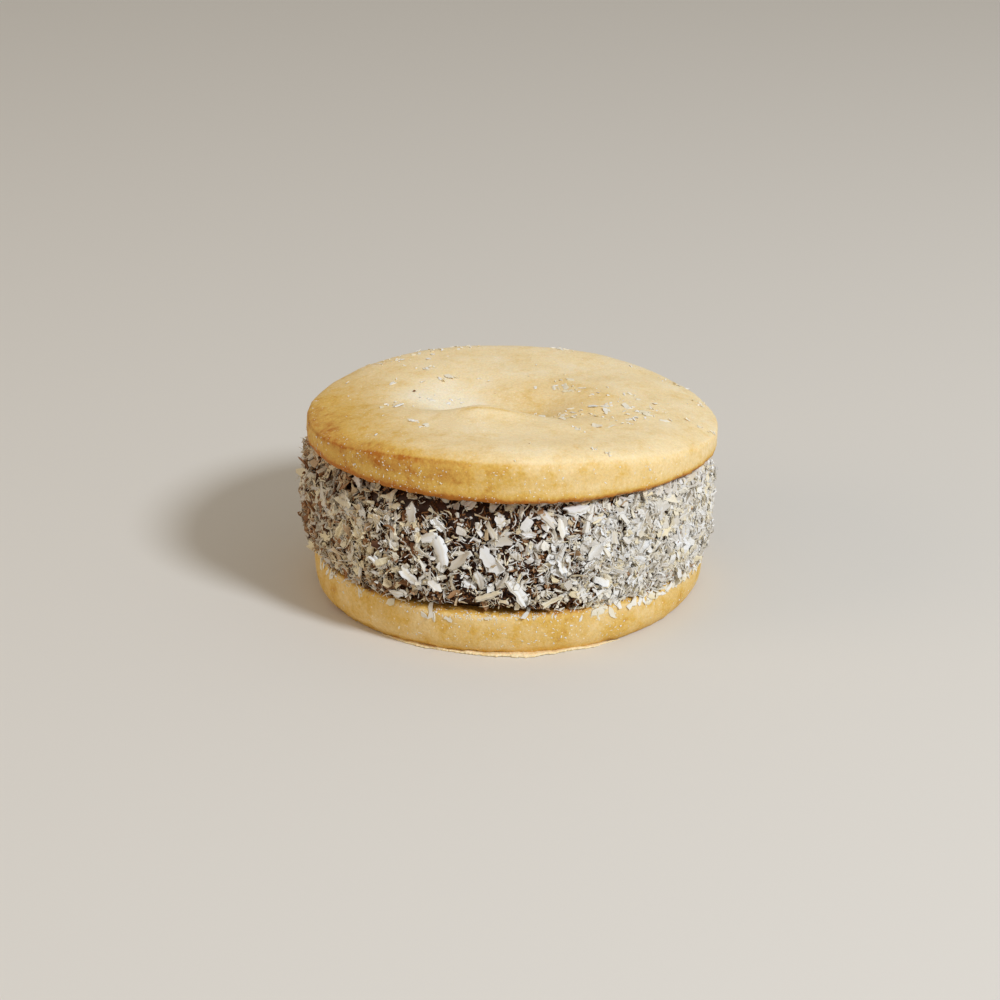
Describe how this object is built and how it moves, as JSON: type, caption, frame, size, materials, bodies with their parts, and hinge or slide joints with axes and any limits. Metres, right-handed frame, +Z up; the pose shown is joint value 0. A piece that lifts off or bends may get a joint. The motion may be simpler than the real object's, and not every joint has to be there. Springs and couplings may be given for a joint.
{
  "type": "alfajor cookie",
  "caption": "Maize biscuit sandwich with a thick round of dulce de leche whose side is coated in shredded coconut.",
  "frame": {"origin": "centre of the flat underside that the alfajor rests on, below the middle of its outline", "axes": "+Z up through the biscuits and the filling, -Y towards the side with the lip of dough under the lower biscuit"},
  "size_m": [0.0766, 0.0752, 0.0379],
  "materials": {
    "biscuit": "pale golden baked maize dough, matte, with a fine crumb and a browner edge",
    "dulce_de_leche": "thick brown milk caramel with a sticky sheen",
    "coconut": "dry white coconut shreds, with some cream and tan ones"
  },
  "bodies": {
    "root": {"biscuit_bottom": "biscuit", "dulce_de_leche": "dulce_de_leche", "coconut_coat": "coconut", "biscuit_top": "biscuit"}
  },
  "joints": []
}
